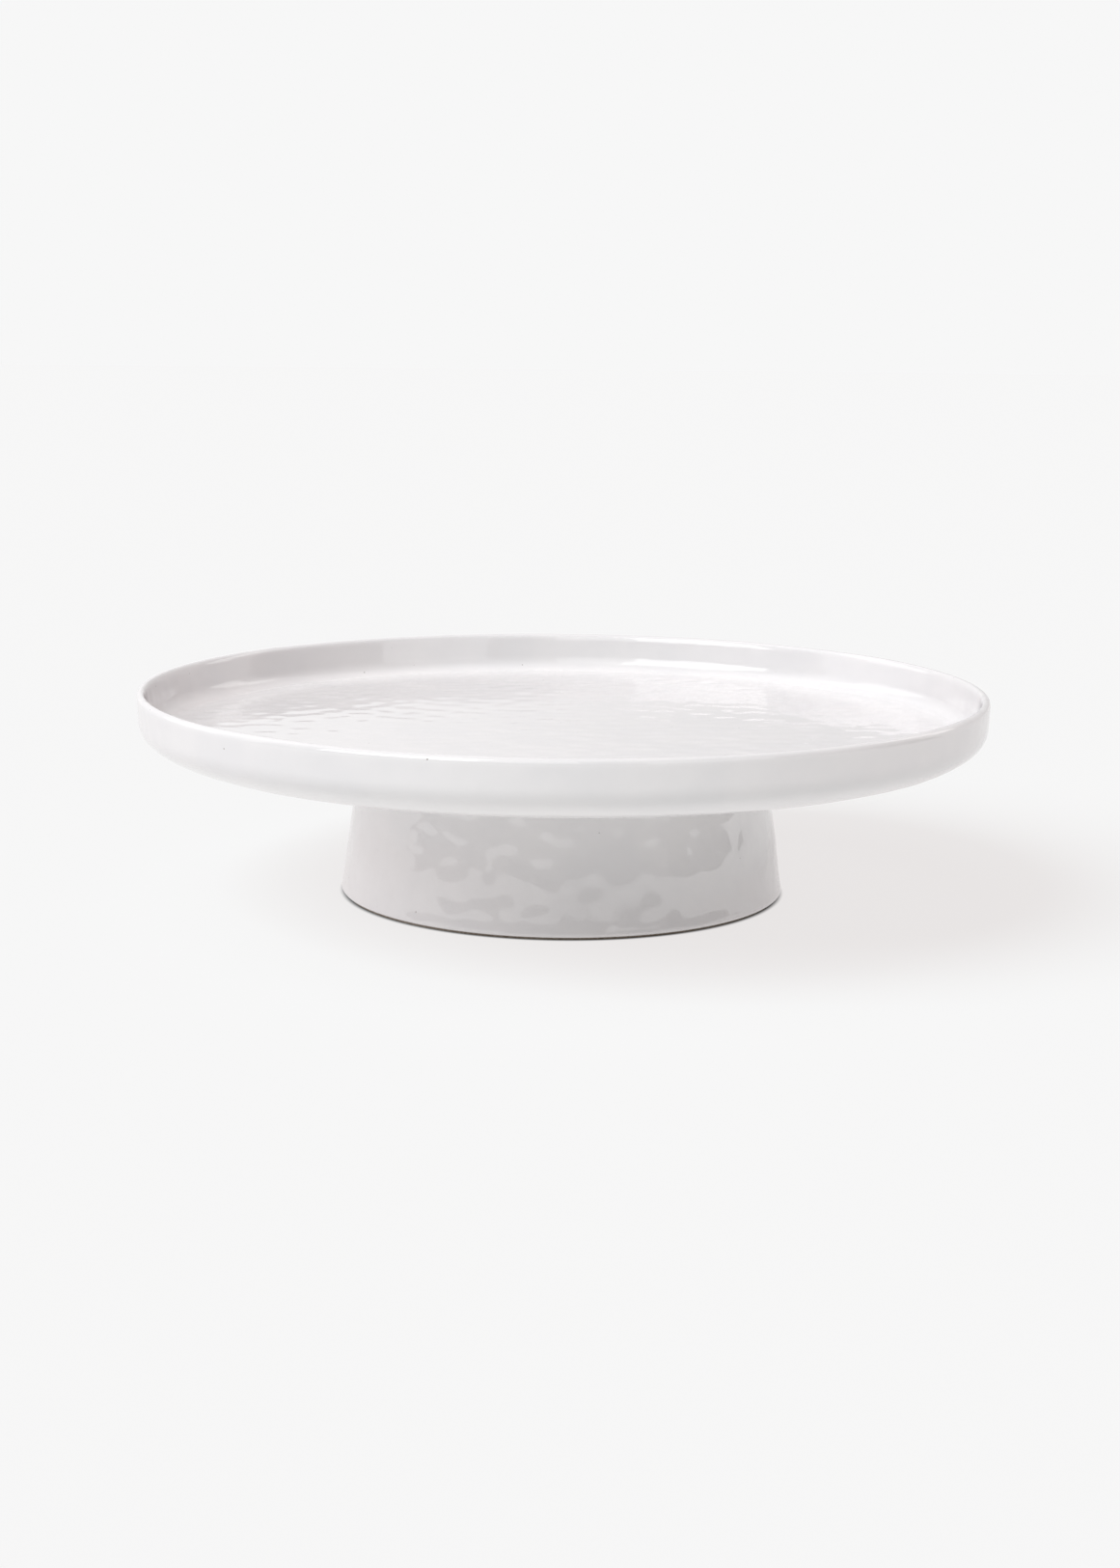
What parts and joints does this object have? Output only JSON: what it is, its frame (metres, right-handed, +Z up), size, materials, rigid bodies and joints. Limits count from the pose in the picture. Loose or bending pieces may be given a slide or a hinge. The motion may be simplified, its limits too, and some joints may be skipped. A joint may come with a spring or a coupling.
{
  "type": "cake stand",
  "caption": "Low round cake stand in white glazed stoneware: shallow dish plate with an upright rim on a hollow flared foot.",
  "frame": {"origin": "centre of the foot's standing ring, on the table plane", "axes": "+Z up along the stand's axis of revolution; X and Y are any two level directions"},
  "size_m": [0.3, 0.3, 0.0736],
  "materials": {
    "white_glaze": "gloss"
  },
  "bodies": {
    "root": {"plate": "white_glaze", "foot": "white_glaze", "joint_slip": "white_glaze"}
  },
  "joints": []
}
